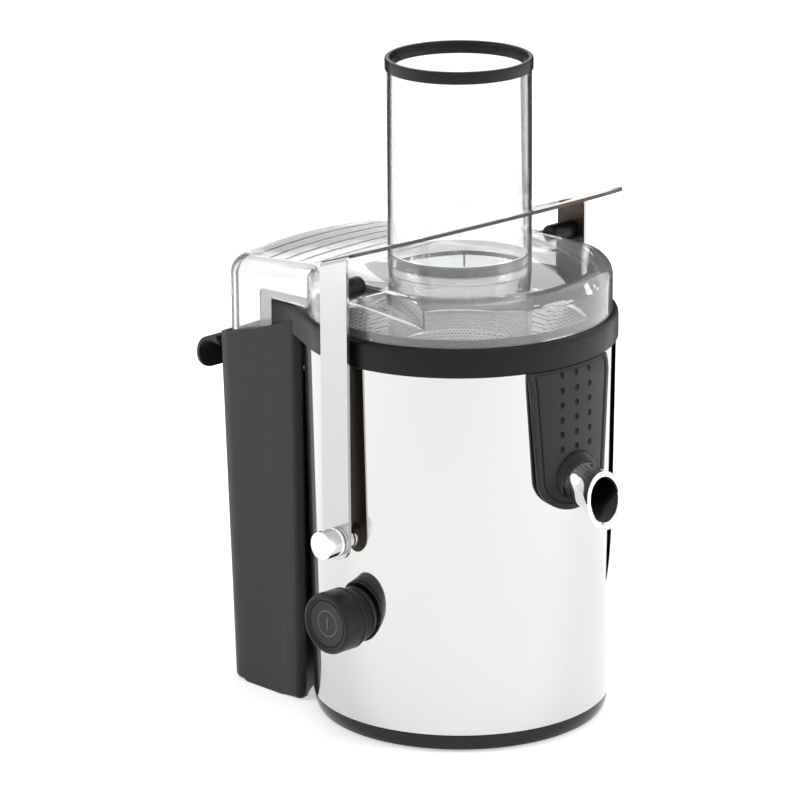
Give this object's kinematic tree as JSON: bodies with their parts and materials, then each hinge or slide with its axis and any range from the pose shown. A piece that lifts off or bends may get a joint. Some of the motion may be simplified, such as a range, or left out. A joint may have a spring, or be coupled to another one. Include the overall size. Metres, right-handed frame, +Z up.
{
  "type": "centrifugal juicer",
  "caption": "Whole-fruit centrifugal juicer: round steel motor body, clear lid and feed chute, swinging locking arm, side knob, pouring spout and a slide-away pulp container.",
  "frame": {"origin": "middle of the bounding box, at the table", "axes": "+Z up, +X towards the pouring spout, -X the pulp container, -Y the side with the control knob"},
  "size_m": [0.2798, 0.224, 0.3983],
  "materials": {
    "mirror_steel": "mirror polished stainless steel",
    "chrome": "bright chrome plate",
    "satin_grey_plastic": "satin moulded ABS",
    "gloss_black_plastic": "gloss moulded ABS",
    "black_plastic": "fine satin ABS",
    "clear_plastic": "clear moulded SAN",
    "rubber": "matte rubber",
    "plain_steel": "plain steel",
    "copper_winding": "enamelled copper wire",
    "carbon": "pressed carbon",
    "natural_plastic": "natural nylon"
  },
  "bodies": {
    "body": {"base_cover": "black_plastic", "base_ring": "gloss_black_plastic", "body_sleeve": "mirror_steel", "bowl_gasket": "rubber", "brush_holder_1": "black_plastic", "brush_holder_2": "black_plastic", "carbon_brush_1": "carbon", "carbon_brush_2": "carbon", "chute_rim": "black_plastic", "cord_gland": "rubber", "feed_chute": "clear_plastic", "field_core": "plain_steel", "field_winding_bottom": "copper_winding", "field_winding_top": "copper_winding", "filter_bowl": "satin_grey_plastic", "foot_1": "rubber", "foot_2": "rubber", "foot_3": "rubber", "foot_4": "rubber", "interlock_switch": "black_plastic", "lid": "clear_plastic", "lower_bearing": "plain_steel", "lower_bracket": "plain_steel", "motor_deck": "black_plastic", "motor_post_1": "black_plastic", "motor_post_2": "black_plastic", "motor_post_3": "black_plastic", "motor_post_4": "black_plastic", "pivot_pin_front": "plain_steel", "pivot_pin_rear": "plain_steel", "pivot_spacer_front": "chrome", "pivot_spacer_rear": "chrome", "rotary_switch": "natural_plastic", "spout_apron": "satin_grey_plastic", "spout_tube": "chrome", "switch_bezel": "black_plastic", "terminal_block": "natural_plastic", "upper_bearing": "plain_steel"},
    "locking_arm": {"bail_arm": "mirror_steel", "pivot_cap_front": "chrome", "pivot_cap_rear": "chrome", "press_stud_front": "black_plastic", "press_stud_rear": "black_plastic"},
    "rotor": {"motor_shaft": "plain_steel", "armature": "copper_winding", "commutator": "copper_winding", "cooling_fan": "natural_plastic", "drive_coupling": "black_plastic", "filter_basket": "plain_steel", "grater_disc": "plain_steel", "basket_nut": "plain_steel"},
    "knob": {"control_knob": "black_plastic", "knob_badge": "gloss_black_plastic", "switch_spindle": "plain_steel"},
    "container": {"pulp_container": "satin_grey_plastic"}
  },
  "joints": [
    {"name": "arm_hinge", "type": "hinge", "parent": "body", "child": "locking_arm", "pos_m": [0.01508, 0, 0.1247], "axis": [0, 1, 0], "range_deg": [0, 90]},
    {"name": "rotor_spin", "type": "hinge", "parent": "body", "child": "rotor", "pos_m": [0.01808, 0, 0.148], "axis": [0, 0, 1], "continuous": true},
    {"name": "knob_turn", "type": "hinge", "parent": "body", "child": "knob", "pos_m": [0.01808, -0.0953, 0.0773], "axis": [0, -1, 0], "range_deg": [0, 90]},
    {"name": "container_slide", "type": "slide", "parent": "body", "child": "container", "axis": [-1, 0, 0], "range_m": [0, 0.08]}
  ]
}
